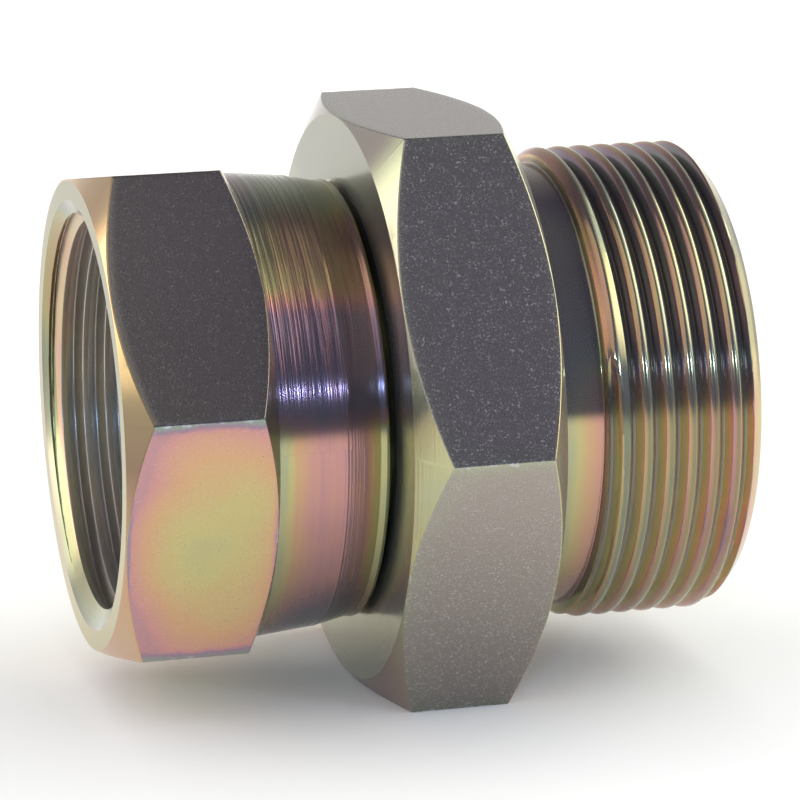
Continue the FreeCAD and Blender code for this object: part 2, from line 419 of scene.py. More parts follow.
class Shader:
    """Short calls that build a material's nodes."""

    def __init__(self, name):
        self.material = bpy.data.materials.new(name)
        self.material.use_nodes = True
        self.nodes = self.material.node_tree.nodes
        self.links = self.material.node_tree.links
        self.surface = self.nodes["Principled BSDF"]
        self.surface.inputs["Metallic"].default_value = 1.0
        self.surface.inputs["Coat Weight"].default_value = 1.0
        self.surface.inputs["Coat Roughness"].default_value = 0.6
        self.surface.inputs["Coat IOR"].default_value = 1.6

    def node(self, kind, settings=None, **inputs):
        """Node with its settings, and its inputs set to values or linked to sockets."""
        made = self.nodes.new(kind)
        for key, value in (settings or {}).items():
            setattr(made, key, value)
        for key, value in inputs.items():
            self.feed(made.inputs[key.replace("_", " ")], value)
        return made

    def feed(self, socket, value):
        """Link a socket to another one, or set its value."""
        if isinstance(value, bpy.types.NodeSocket):
            self.links.new(value, socket)
        else:
            socket.default_value = value

    def math(self, operation, *values):
        """Output of a Math node."""
        made = self.nodes.new("ShaderNodeMath")
        made.operation = operation
        for socket, value in zip(made.inputs, values):
            self.feed(socket, value)
        return made.outputs[0]

    def span(self, value, low, high, to_low=0.0, to_high=1.0, smooth=True):
        """Value remapped from one range to another and held at its ends."""
        settings = {"interpolation_type": "SMOOTHSTEP" if smooth else "LINEAR"}
        made = self.node("ShaderNodeMapRange", settings)
        for index, given in enumerate((value, low, high, to_low, to_high)):
            self.feed(made.inputs[index], given)
        return made.outputs[0]

    def blend(self, share, first, second, mode="MIX"):
        """Colour between two colours."""
        made = self.nodes.new("ShaderNodeMix")
        made.data_type = "RGBA"
        made.blend_type = mode
        self.feed(made.inputs["Factor"], share)
        for socket, value in zip((made.inputs[6], made.inputs[7]), (first, second)):
            self.feed(socket, value if isinstance(value, bpy.types.NodeSocket) else (*value, 1.0))
        return made.outputs[2]

    def ramp(self, value, stops):
        """Colour read from a list of (place, colour) stops."""
        made = self.nodes.new("ShaderNodeValToRGB")
        elements = made.color_ramp.elements
        while len(elements) < len(stops):
            elements.new(0.5)
        for element, (place, tone) in zip(elements, stops):
            element.position = place
            element.color = (*tone, 1.0)
        self.feed(made.inputs[0], value)
        return made.outputs[0]

    def profile(self, value, stops):
        """Number read along straight lines between (place, number) stops, numbers from 0 to 1."""
        low, high = stops[0][0], stops[-1][0]
        share = self.span(value, low, high, smooth=False)
        return self.ramp(share, [((place - low) / (high - low), (level,) * 3) for place, level in stops])

    def varied(self, value, change, amount):
        """Value moved up and down by a share of a change that runs from 0 to 1."""
        return self.math("ADD", value, self.math("MULTIPLY", self.math("SUBTRACT", change, 0.5), amount))

    def between(self, share, first, second):
        """Number between two numbers."""
        return self.math("ADD", first, self.math("MULTIPLY", self.math("SUBTRACT", second, first), share))

    def noise(self, vector, scale, detail=3.0, roughness=0.5):
        """Value of a Noise Texture from 0 to 1. The scale is counted per metre."""
        made = self.node("ShaderNodeTexNoise", None, Vector=vector, Scale=scale, Detail=detail,
                         Roughness=roughness)
        return made.outputs[0]

    def place(self):
        """Coordinates on the piece: the place, the distance along the axis, the radius, angle and height.

        The height is a share of the radius: 1 on top, 0 beside the axis and -1 underneath.
        """
        position = self.node("ShaderNodeTexCoord").outputs["Object"]
        x, y, z = self.node("ShaderNodeSeparateXYZ", None, Vector=position).outputs
        squares = self.math("ADD", self.math("MULTIPLY", y, y), self.math("MULTIPLY", z, z))
        radius = self.math("SQRT", squares)
        return position, x, radius, self.math("ARCTAN2", z, y), self.math("DIVIDE", z, radius)

    def lathe_lines(self, x, radius, angle, stretch, scale):
        """Noise in lines that run round the axis: it changes along the axis and hardly round it."""
        round_axis = self.math("MULTIPLY", angle, stretch)
        vector = self.node("ShaderNodeCombineXYZ", None, X=x, Y=radius, Z=round_axis)
        return self.noise(vector.outputs[0], scale, 3.0, 0.6)

    def bump(self, height, distance, strength):
        """Normal of a Bump node."""
        made = self.node("ShaderNodeBump", None, Height=height, Distance=distance, Strength=strength)
        return made.outputs[0]

    def finish(self, base, roughness, veil, normal):
        """Feed the surface and hand back the material. The veil is the rough coat's index."""
        inputs = {"Base Color": base, "Roughness": roughness, "Coat IOR": veil, "Normal": normal}
        for name, value in inputs.items():
            self.feed(self.surface.inputs[name], value)
        return self.material


def film(shader, thickness, tones):
    """Colour of the passivation film at a thickness from 0 to 1, through its first order into its second."""
    colours = (tones.beige, tones.green, tones.yellow, tones.orange, tones.pink, tones.mauve, tones.teal)
    places = (0.00, 0.16, 0.32, 0.48, 0.64, 0.80, 1.00)
    return shader.ramp(thickness, [(place, tuple(tone)) for place, tone in zip(places, colours)])


def flat_material(name, tones, turn, centre, half_length, thin, thick, fringe, specks, sides, shade, veil):
    """Drawn hexagon flats: fine silvery specks, and a film that thickens towards each flat's edges.

    Six shares tell how much of that film each flat has, counted from +Y towards +Z. Painted shade: the
    film's colour is darkened by the height, by (height, level) stops, to stand in for how the light falls.
    """
    shader = Shader(name)
    position, x, radius, angle, height = shader.place()
    sixth = math.pi / 3
    around = shader.math("SUBTRACT", angle, turn - 2 * math.pi)
    local = shader.math("SUBTRACT", shader.math("MODULO", around, sixth), sixth / 2)
    side = shader.math("FLOOR", shader.math("MODULO", shader.math("DIVIDE", around, sixth), 6.0))
    across = shader.math("MULTIPLY", shader.math("TANGENT", local), 1 / math.tan(sixth / 2))
    lengthwise = shader.math("DIVIDE", shader.math("SUBTRACT", x, centre), half_length)
    wide = shader.math("ABSOLUTE", across)
    long = shader.math("ABSOLUTE", shader.math("SUBTRACT", lengthwise, 0.18))
    edge = shader.math("ADD", shader.math("POWER", wide, 2.2), shader.math("POWER", long, 2.2))
    edge = shader.varied(edge, shader.noise(position, 120.0, 3.0), 0.9)
    rim = shader.math("MAXIMUM", wide, shader.math("ABSOLUTE", lengthwise))
    rim = shader.varied(rim, shader.noise(position, 700.0, 2.0), 0.06)

    thickness = shader.span(edge, 0.0, 1.25, thin, thick, smooth=False)
    thickness = shader.math("ADD", thickness, shader.span(rim, 0.9, 1.0, 0.0, fringe))
    thickness = shader.math("MULTIPLY", thickness, shader.profile(side, list(enumerate(sides))))
    # Painted shade: the film's colour is multiplied by a brightness read off the height.
    base = shader.blend(1.0, film(shader, thickness, tones), shader.profile(height, shade), "MULTIPLY")

    speck = shader.span(shader.noise(position, 5600.0, 1.0), 0.54, 0.76)
    cluster = shader.span(shader.noise(position, 1300.0, 2.0), 0.35, 0.65, 0.3, 1.0)
    speck = shader.math("MULTIPLY", shader.math("MULTIPLY", speck, cluster), specks)
    nicked = shader.span(shader.noise(position, 1100.0, 2.0), 0.5, 0.7)
    worn = shader.math("MULTIPLY", shader.span(rim, 0.97, 1.0), nicked)
    silvery = shader.math("MAXIMUM", shader.math("MULTIPLY", speck, 0.6), shader.math("MULTIPLY", worn, 0.8))
    base = shader.blend(silvery, base, tuple(tones.speck))
    roughness = shader.math("ADD", shader.math("MULTIPLY", speck, 0.4), 0.22)
    grain = shader.bump(shader.noise(position, 4200.0, 3.0, 0.6), 0.00002, 0.3 + 0.4 * specks)
    return shader.finish(base, roughness, veil, grain)


def turned_material(name, tones, stops, upper=None, belt=None, shade=((-1.0, 1.0), (1.0, 1.0)), streaks=0.12,
                    mottle=0.16, patch=260.0, roughness=0.15, relief=0.3, lines=3200.0, brushed=0.0,
                    veil=1.6, coat=1.0, under=0.3):
    """Turned wall with lathe lines round it, whose film changes along the axis by (place, film) stops.

    A second list of stops holds for the upper side; the film is then made thicker underneath and thinner
    right on top. It may have a belt of another thickness above half height. Painted shade darkens its
    colour by the height. Streaks and mottle tell how much it varies in lines and in patches.
    """
    shader = Shader(name)
    position, x, radius, angle, height = shader.place()
    fine = shader.lathe_lines(x, radius, angle, 0.0002, lines)
    thickness = shader.profile(x, stops)
    if upper:
        thickness = shader.between(shader.span(height, 0.05, 0.45), thickness, shader.profile(x, upper))
        thickness = shader.math("ADD", thickness, shader.span(height, -0.55, -0.95, 0.0, under))
        thickness = shader.math("SUBTRACT", thickness, shader.span(height, 0.86, 0.98, 0.0, 0.3))
    if belt:
        share = shader.math("MULTIPLY", shader.span(height, 0.06, 0.2), shader.span(height, 0.68, 0.53))
        thickness = shader.between(share, thickness, belt)
    thickness = shader.varied(thickness, shader.noise(position, patch, 3.0), mottle)
    thickness = shader.varied(thickness, fine, streaks)
    # Painted shade: the film's colour is multiplied by a brightness read off the height.
    base = shader.blend(1.0, film(shader, thickness, tones), shader.profile(height, shade), "MULTIPLY")
    shader.surface.inputs["Coat Weight"].default_value = coat
    if brushed:
        relief = shader.span(height, 0.15, 0.5, 0.4 * relief, relief)
        shader.surface.inputs["Anisotropic"].default_value = brushed
        shader.surface.inputs["Anisotropic Rotation"].default_value = 0.25
        round_axis = shader.node("ShaderNodeTangent", {"direction_type": "RADIAL", "axis": "X"})
        shader.feed(shader.surface.inputs["Tangent"], round_axis.outputs[0])
    return shader.finish(base, roughness, veil, shader.bump(fine, 0.00003, relief))


def thread_material(name, tones, lower, upper, root, crest, first, lower_drift=0.0, upper_drift=0.0,
                    roughness=0.15, veil=1.8, bare_steel_lightening=0.0, painted_root_shade=1.0):
    """Cut thread, whose film changes with how far the surface leans along the axis, from left to right.

    Two lists of (lean, film, brightness) stops hold for the lower and the upper side; the brightness is
    painted shade, which darkens the film by how far the surface leans. Below, the film thickens from the
    root to the crest and drifts on its way along the thread. Above, the first ridge has another film, and
    painted shade darkens it towards the root. Beyond the first ridge a share of pale steel colour is blended
    in as painted light, which lightens the thread.
    """
    shader = Shader(name)
    position, x, radius, angle, height = shader.place()
    normal = shader.node("ShaderNodeTexCoord").outputs["Normal"]
    leaning = shader.node("ShaderNodeSeparateXYZ", None, Vector=normal).outputs[0]
    # Painted shade: the brightness in each list darkens the film by how the surface leans.
    films, painted_levels = [], []
    for stops in (lower, upper):
        films.append(shader.profile(leaning, [(lean, thickness) for lean, thickness, brightness in stops]))
        painted_levels.append(shader.profile(leaning, [(lean, brightness) for lean, thickness, brightness in stops]))
    rise = shader.span(radius, root, crest, smooth=False)
    drift = shader.span(x, 12.0 * MM, 23.0 * MM, -lower_drift, lower_drift, False)
    films[0] = shader.math("ADD", shader.varied(films[0], rise, 0.3), drift)
    films[1] = shader.math("ADD", films[1], shader.span(x, first, first + 0.8 * MM, upper_drift, 0.0))
    films[1] = shader.math("ADD", films[1], shader.span(height, 0.74, 0.95, 0.0, 0.08))
    # Painted shade: on the upper side the film darkens towards the root.
    painted_levels[1] = shader.math("MULTIPLY", painted_levels[1], shader.span(rise, 0.0, 0.35, painted_root_shade, 1.0))
    share = shader.span(height, 0.05, 0.3)
    thickness = shader.varied(shader.between(share, *films), shader.noise(position, 90.0, 3.0), 0.7)
    # Painted light: a share of pale steel colour lightens the thread beyond the first ridge.
    bare_steel_lightening = shader.span(x, first, first + 0.8 * MM, 0.0, bare_steel_lightening)
    base = shader.blend(bare_steel_lightening, film(shader, thickness, tones), tuple(tones.bare_steel_lightening))
    base = shader.blend(1.0, base, shader.between(share, *painted_levels), "MULTIPLY")
    fine = shader.lathe_lines(x, radius, angle, 0.0008, 3200.0)
    return shader.finish(base, roughness, veil, shader.bump(fine, 0.00001, 0.3))


class ADAPTER_OT_body(bpy.types.Operator):
    """Build the body: nose, collar, neck, hexagon, relief and male thread in one closed skin"""
    bl_idname = "adapter.body"
    bl_label = "Body"

    def execute(self, context):
        sizes = context.scene.adapter_body
        tones = context.scene.adapter_finish
        angles = ring_angles(0.0)
        rings = Rings(angles)
        face, chamfer, flat, neck, thread_region, bore = range(6)

        front = -sizes.hexagon_length / 2
        back = sizes.hexagon_length / 2
        male_end = body_high.x
        nose_tip = body_low.x
        collar_back = front - sizes.neck_length
        collar_crown = collar_back - (sizes.collar_radius - sizes.neck_radius)
        collar_front = collar_crown - sizes.collar_length
        nose_root = sizes.nose_radius + (collar_front - nose_tip) * math.tan(sizes.cone_angle)
        face_radius = sizes.across_flats / 2 - sizes.face_inset
        small = 0.15 * MM
        narrow = 0.05 * MM

        rings.plain(rounded([
            (nose_tip, sizes.bore_radius + 0.25 * MM),
            (nose_tip, sizes.nose_radius - 0.4 * MM, small),
            (nose_tip + 0.4 * MM, sizes.nose_radius, small),
            (collar_front, nose_root, 0.4 * MM),
            (collar_front, sizes.collar_radius - 0.5 * MM, small),
            (collar_front + 0.5 * MM, sizes.collar_radius, small),
            (collar_crown, sizes.collar_radius, small),
            (collar_back, sizes.neck_radius, 0.4 * MM),
            (front, sizes.neck_radius, 0.4 * MM),
            (front, sizes.neck_radius + 1.0 * MM),
        ]), neck)
        rings.plain([(front, sizes.neck_radius + 4.0 * MM), (front, face_radius - narrow)], face)
        rings.plain([(front, face_radius)], chamfer)
        front_rim, flats, back_rim = hexagon_columns(angles, sizes, front, back, face_radius, face_radius,
                                                     0.0)
        rings.add(*front_rim, flat)
        rings.add(flats[0], worn_edges(flats[1], angles, 0.0, seed=7), flat)
        rings.add(*back_rim, chamfer)
        relief_top = sizes.relief_radius + 1.5 * MM
        rings.plain([(back, face_radius), (back, face_radius - narrow), (back, relief_top)], face)

        root = sizes.thread_radius - sizes.thread_depth
        thread = Thread(sizes, root)
        lead_radius = sizes.thread_radius - sizes.lead_rise
        lead_start = sizes.thread_start
        rings.plain(rounded([
            (back, relief_top),
            (back, sizes.relief_radius, sizes.relief_rounding),
            (sizes.relief_end, sizes.relief_radius, 0.15 * MM),
            (lead_start, lead_radius),
        ], 5)[1:-1], neck)

        along = np.linspace(0.0, 1.0, 13)
        wall_x = [sizes.relief_end, *(lead_start + sizes.lead_length * along), sizes.thread_end, male_end]
        wall_r = [sizes.relief_radius, *(lead_radius + sizes.lead_rise * (1 - (1 - along) ** 1.5)),
                  sizes.thread_radius, sizes.thread_radius - sizes.end_chamfer]

        def cut(x, angle):
            """Radius of the outer wall with the thread cut into it, which runs out at its inner end."""
            runout_start = sizes.runout_angle + sizes.runout_turn
            lift = np.clip((runout_start - thread.turned_angle(x, angle)) / sizes.runout_turn, 0.0, 1.0)
            lift = lift * lift * (3 - 2 * lift) * 1.1 * sizes.thread_depth
            wall = np.interp(x, wall_x, wall_r)
            fall_x = lead_start + sizes.lead_length + np.array([0.0, 0.25, 0.9, 1.2, 1.9]) * MM
            fall = np.interp(x, fall_x, [0.0, 0.1, 1.0, 1.0, 0.0])
            falling = np.interp(angle, np.radians([0.0, 70.0, 168.0, 196.0]), [0.0, 1.0, 1.0, 0.0])
            return np.minimum(thread.radius(x, angle) + lift, wall - fall * falling * sizes.lead_fall)

        rings.turned(np.linspace(sizes.relief_end + 0.02 * MM, lead_start, 5)[:-1], cut, thread_region)
        rings.threaded(thread, lead_start, sizes.thread_end, cut, thread_region)
        rings.turned(np.linspace(sizes.thread_end, male_end, 14)[1:-1], cut, thread_region)

        socket_end = male_end - sizes.socket_depth
        seat_end = male_end - (sizes.seat_radius - sizes.socket_radius) / math.tan(sizes.cone_angle)
        rings.plain(rounded([
            (male_end - 0.1 * MM, wall_r[-1] + 0.1 * MM),
            (male_end, wall_r[-1], small),
            (male_end, sizes.seat_radius, small),
            (seat_end, sizes.socket_radius, small),
            (socket_end, sizes.socket_radius, small),
            (socket_end, sizes.bore_radius, small),
            (nose_tip + 0.25 * MM, sizes.bore_radius, small),
            (nose_tip, sizes.bore_radius + 0.25 * MM),
        ])[1:-1], bore)

        half = sizes.hexagon_length / 2
        # The shade lists paint shade: they darken each material's colour by the height.
        materials = [
            turned_material("Body faces", tones, [(-half, 0.1), (half, 0.1)],
                            shade=[(-1.0, 1.0), (0.5, 1.0), (0.82, 0.46), (1.0, 0.46)],
                            mottle=0.1, veil=1.85),
            turned_material("Body chamfers", tones, [(-half, 0.27), (half, 0.28)],
                            [(-half, 0.06), (half, 0.20)],
                            shade=[(-1.0, 0.3), (-0.7, 0.5), (-0.3, 0.9), (-0.1, 1.0), (1.0, 1.0)],
                            mottle=0.34, patch=90.0, veil=2.0),
            flat_material("Body flats", tones, 0.0, 0.0, half, thin=-0.05, thick=0.04, fringe=0.06,
                          specks=0.85, sides=(1.0,) * 6, veil=1.83,
                          shade=[(-0.9, 0.48), (-0.6, 0.68), (-0.2, 0.86), (0.1, 0.97), (0.6, 1.0),
                                 (0.9, 1.0)]),
            turned_material("Body neck and relief", tones, [
                (back, 0.14), (back + 2.0 * MM, 0.22), (back + 3.2 * MM, 0.42), (sizes.relief_end, 0.62),
            ], [
                (back, 0.1), (sizes.relief_end, 0.04),
            ], shade=[(-1.0, 0.6), (-0.5, 0.75), (0.1, 0.85), (1.0, 1.0)],
                            streaks=0.04, mottle=0.12, roughness=0.1, relief=0.08, veil=1.75, under=0.1),
            thread_material("Male thread", tones, [
                (-1.0, 0.40, 0.7), (-0.93, 0.44, 0.9), (-0.75, 0.50, 1.0), (-0.5, 0.38, 0.7),
                (-0.25, 0.26, 0.55), (-0.1, 0.18, 0.42), (0.1, 0.12, 0.42), (0.4, 0.12, 0.46),
                (0.6, 0.2, 0.72), (0.68, 0.36, 0.9), (0.76, 0.36, 1.0), (0.82, 0.2, 1.0), (1.0, 0.2, 1.0),
            ], [
                (-1.0, 0.34, 1.0), (-0.95, 0.40, 0.95), (-0.9, 0.80, 1.0), (-0.84, 0.78, 1.0),
                (-0.72, 0.50, 0.9), (-0.5, 0.42, 1.0), (-0.2, 0.38, 1.0), (-0.06, 0.34, 0.6),
                (0.05, 0.22, 0.6), (0.2, 0.16, 0.95), (0.6, 0.12, 1.0), (0.68, 0.3, 1.0), (0.76, 0.3, 1.0),
                (0.82, 0.1, 0.3), (1.0, 0.1, 0.3),
            ], root, sizes.thread_radius, first=13.3 * MM, lower_drift=0.12, upper_drift=0.06, painted_root_shade=0.4),
            turned_material("Bore and seat", tones, [(nose_tip, 0.4), (male_end, 0.1)], streaks=0.3,
                            roughness=0.22),
        ]
        finished_piece(rings, "adapter_body", "body", "body", materials)
        return {"FINISHED"}


class ADAPTER_OT_swivel_nut(bpy.types.Operator):
    """Build the swivel nut: female thread, pocket, lip, skirt and hexagon in one closed skin"""
    bl_idname = "adapter.swivel_nut"
    bl_label = "Swivel nut"

    def execute(self, context):
        sizes = context.scene.adapter_nut
        tones = context.scene.adapter_finish
        angles = ring_angles(sizes.turn)
        rings = Rings(angles)
        face, chamfer, flat, skirt, thread_region, inside, sink = range(7)
        mouth = nut_low.x
        lip = nut_high.x
        hexagon_end = mouth + sizes.hexagon_length
        crimp = mouth + sizes.crimp_from_mouth
        face_radius = sizes.across_flats / 2 - sizes.face_inset
        small = 0.12 * MM
        narrow = 0.05 * MM

        root = sizes.thread_radius + sizes.thread_depth
        thread = Thread(sizes, root)
        thread_start = mouth + (sizes.mouth_radius - sizes.thread_radius) / math.tan(sizes.mouth_angle)
        thread_end = thread_start + sizes.thread_length
        wall_x = [mouth, thread_start, thread_end, thread_end + sizes.groove_radius - sizes.thread_radius]
        wall_r = [sizes.mouth_radius, sizes.thread_radius, sizes.thread_radius, sizes.groove_radius]

        def cut(x, angle):
            """Radius of the hollow's wall with the thread cut into it."""
            return np.maximum(thread.radius(x, angle), np.interp(x, wall_x, wall_r))

        rings.plain([(mouth, sizes.mouth_radius)], sink)
        rings.turned(np.linspace(mouth, thread_start, 26)[1:-1], cut, sink)
        rings.threaded(thread, thread_start, thread_end, cut, thread_region)
        rings.turned(np.linspace(thread_end, wall_x[-1], 8)[1:-1], cut, thread_region)
        groove_end = thread_end + sizes.groove_length
        rings.plain(rounded([
            (wall_x[-1] - 0.1 * MM, sizes.groove_radius - 0.1 * MM),
            (wall_x[-1], sizes.groove_radius, small),
            (groove_end - sizes.groove_radius + sizes.pocket_radius, sizes.groove_radius, small),
            (groove_end, sizes.pocket_radius, small),
            (sizes.seat_start, sizes.pocket_radius, small),
            (sizes.seat_end, sizes.lip_bore_radius, small),
            (lip, sizes.lip_bore_radius, small),
            (lip, sizes.lip_radius - 1.0 * MM),
        ], 5)[1:-1], inside)
        rings.plain(rounded([
            (lip, sizes.lip_radius - 1.0 * MM),
            (lip, sizes.lip_radius - 0.1 * MM, 0.25 * MM),
            (lip - 0.35 * MM, sizes.lip_radius + 0.1 * MM, 0.15 * MM),
            (lip - 0.85 * MM, sizes.lip_radius - 0.02 * MM, 0.6 * MM),
            (crimp + 0.16 * MM, sizes.crimp_radius - 0.03 * MM, 0.1 * MM),
            (crimp + 0.02 * MM, sizes.crimp_radius + 0.035 * MM, 0.08 * MM),
            (crimp - 0.14 * MM, sizes.crimp_radius + 0.01 * MM, 0.1 * MM),
            (hexagon_end, sizes.skirt_radius),
        ], 5)[:-1], skirt)
        rings.plain([(hexagon_end, sizes.skirt_radius)], chamfer)
        front_rim, flats, back_rim = hexagon_columns(angles, sizes, mouth, hexagon_end, face_radius,
                                                     sizes.skirt_radius, sizes.turn)
        rings.add(back_rim[0][:, ::-1], back_rim[1][:, ::-1], flat)
        worn = worn_edges(flats[1], angles, sizes.turn, seed=11)
        rings.add(flats[0][:, ::-1], worn[:, ::-1], flat)
        rings.add(front_rim[0][:, ::-1], front_rim[1][:, ::-1], chamfer)
        sink_rim = sizes.mouth_radius + narrow
        rings.plain([(mouth, face_radius), (mouth, face_radius - narrow), (mouth, sink_rim)], face)

        middle = (mouth + hexagon_end) / 2
        half = sizes.hexagon_length / 2
        # The shade lists paint shade: they darken each material's colour by the height.
        materials = [
            turned_material("Nut face", tones, [(mouth, 0.31), (hexagon_end, 0.31)],
                            shade=[(-1.0, 0.84), (0.0, 0.58), (1.0, 0.42)], patch=90.0, veil=1.18, coat=0.1),
            turned_material("Nut chamfers", tones, [(mouth, 0.46), (hexagon_end, 0.36)],
                            shade=[(-1.0, 1.0), (-0.4, 0.95), (0.0, 0.34), (0.3, 0.4), (0.7, 1.0),
                                   (1.0, 1.0)],
                            mottle=0.3, patch=90.0),
            flat_material("Nut flats", tones, sizes.turn, middle, half, thin=0.28, thick=0.70, fringe=0.3,
                          specks=0.38, sides=(0.8, 0.5, 0.03, 1.0, 0.9, 0.7), veil=1.58,
                          shade=[(-1.0, 1.0), (0.1, 1.0), (0.2, 0.85), (0.5, 0.9), (0.8, 1.0), (1.0, 1.0)]),
            turned_material("Nut skirt", tones, [
                (hexagon_end, 0.2), (hexagon_end + 0.8 * MM, 0.3), (hexagon_end + 1.5 * MM, 0.48),
                (hexagon_end + 3.0 * MM, 0.60), (crimp - 0.1 * MM, 0.64), (crimp + 0.1 * MM, 0.66),
                (crimp + 1.0 * MM, 0.66), (crimp + 1.8 * MM, 0.66), (crimp + 2.6 * MM, 0.36), (lip, 0.16),
            ], [
                (hexagon_end, 0.24), (hexagon_end + 2.5 * MM, 0.44), (crimp - 0.1 * MM, 0.42),
                (crimp + 0.1 * MM, 0.42), (crimp + 2.0 * MM, 0.46), (lip - 0.7 * MM, 0.56), (lip, 0.40),
            ], belt=0.78, shade=[(-1.0, 0.42), (-0.6, 0.68), (0.0, 0.82), (0.06, 0.8), (0.13, 0.6),
                                 (0.45, 0.7), (0.6, 1.0), (1.0, 1.0)],
                            streaks=0.3, roughness=0.18, relief=4.5, lines=2600.0, brushed=0.6, veil=1.65),
            # Its pale steel share is painted light that lightens the thread inside the nut.
            thread_material("Female thread", tones, [
                (-1.0, 0.4, 0.9), (-0.6, 0.34, 0.9), (-0.3, 0.1, 0.95), (0.0, 0.02, 1.0), (1.0, 0.06, 1.0),
            ], [
                (-1.0, 0.4, 0.9), (-0.6, 0.34, 0.85), (-0.3, 0.4, 1.0), (0.0, 0.45, 1.0), (1.0, 0.45, 1.0),
            ], root, sizes.thread_radius, first=thread_start + 1.1 * MM, roughness=0.24, veil=2.7, bare_steel_lightening=0.6),
            turned_material("Nut inside", tones, [(thread_end, 0.5), (lip, 0.3)], streaks=0.3,
                            roughness=0.2),
            turned_material("Nut mouth", tones, [
                (mouth, 0.02), (mouth + 0.35 * MM, 0.18), (thread_start, 0.26),
            ], [
                (mouth, 0.3), (mouth + 0.35 * MM, 0.38), (thread_start, 0.44),
            ], shade=[(-1.0, 0.7), (-0.75, 0.6), (-0.4, 1.0), (0.0, 0.6), (1.0, 0.6)],
                            mottle=0.2, patch=110.0, roughness=0.18, under=0.0),
        ]
        finished_piece(rings, "adapter_swivel_nut", "swivel_nut", "swivel_nut",
                       materials)
        return {"FINISHED"}


def show_background(tree, lit, white):
    """Share of rays, from the camera or off metal and glass, that see the plain white background."""
    path = tree.nodes.new("ShaderNodeLightPath")
    share = path.outputs["Is Camera Ray"]
    for name in ("Is Glossy Ray", "Is Transmission Ray"):
        larger = tree.nodes.new("ShaderNodeMath")
        larger.operation = "MAXIMUM"
        tree.links.new(share, larger.inputs[0])
        tree.links.new(path.outputs[name], larger.inputs[1])
        share = larger.outputs[0]
    mix = tree.nodes.new("ShaderNodeMixShader")
    tree.links.new(share, mix.inputs[0])
    tree.links.new(lit, mix.inputs[1])
    tree.links.new(white, mix.inputs[2])
    return mix.outputs[0]


def floor_material():
    """Plain white floor that keeps the shadow."""
    material = bpy.data.materials.new("White floor")
    material.use_nodes = True
    surface = material.node_tree.nodes["Principled BSDF"]
    surface.inputs["Base Color"].default_value = (0.95, 0.95, 0.95, 1.0)
    surface.inputs["Roughness"].default_value = 1.0
    surface.inputs["Specular IOR Level"].default_value = 0.0
    return material


def smooth(value):
    """Smooth step from 0 to 1."""
    value = min(max(value, 0.0), 1.0)
    return value * value * (3 - 2 * value)


def hood_cover(rise, side):
    """How much the hood covers at an angle from the front floor over the top, and at a share of its radius.

    Between its soft left and right edges it covers fully; thin is how much it still covers left of them.
    """
    rises = [12.0, 22.0, 32.0, 48.0, 64.0, 80.0, 96.0, 112.0, 128.0, 145.0]
    left = np.interp(rise, rises, [-0.99, -0.75, -0.2, -0.02, 0.0, -0.10, -0.45, -0.97, -0.97, -0.75])
    right = np.interp(rise, rises, [1.0, 1.0, 0.97, 0.96, 0.92, 0.85, 0.84, 0.86, 0.93, 0.88])
    fade = np.interp(rise, rises, [0.02, 0.15, 0.4, 0.45, 0.52, 0.6, 0.6, 0.58, 0.45, 0.12])
    thin = np.interp(rise, [12.0, 30.0, 50.0, 70.0, 90.0, 112.0, 135.0], [0.0, 0.5, 0.3, 0.3, 0.5, 0.6, 0.0])
    thin = thin * smooth((side + 0.98) / 0.16)
    ends = smooth((rise + 10.0) / 1.9) * smooth((176.0 - rise) / 11.0)
    return ends * max(smooth((side - left) / 0.14), thin) * smooth((right - side) / fade)


def window_cover(rise, side):
    """How much the bright window covers at the same angle and share."""
    return (smooth((side - 0.50) / 0.24) * smooth((0.99 - side) / 0.06)
            * smooth((rise - 24.0) / 26.0) * smooth((100.0 - rise) / 30.0))


def soft_sheet(name, points, places, faces, stops):
    """Glowing sheet seen only in the metal's reflections. Points have a cover and a place on the stops."""
    mesh = bpy.data.meshes.new(name)
    mesh.from_pydata(points, [], faces)
    layer = mesh.uv_layers.new(name=name)
    for loop in mesh.loops:
        layer.data[loop.index].uv = places[loop.vertex_index]
    sheet = bpy.data.objects.new(name, mesh)
    bpy.context.scene.collection.objects.link(sheet)

    shader = Shader(name)
    tree = shader.material.node_tree
    place = shader.node("ShaderNodeTexCoord").outputs["UV"]
    split = shader.node("ShaderNodeSeparateXYZ", None, Vector=place)
    glow = shader.node("ShaderNodeEmission", None, Color=shader.ramp(split.outputs[1], stops))
    clear = shader.nodes.new("ShaderNodeBsdfTransparent")
    mix = shader.nodes.new("ShaderNodeMixShader")
    tree.links.new(split.outputs[0], mix.inputs[0])
    tree.links.new(clear.outputs[0], mix.inputs[1])
    tree.links.new(glow.outputs[0], mix.inputs[2])
    tree.links.new(mix.outputs[0], shader.nodes["Material Output"].inputs[0])
    shader.nodes.remove(shader.surface)
    mesh.materials.append(shader.material)
    sheet.visible_camera = False
    sheet.visible_diffuse = False
    sheet.visible_shadow = False
    sheet.visible_transmission = False


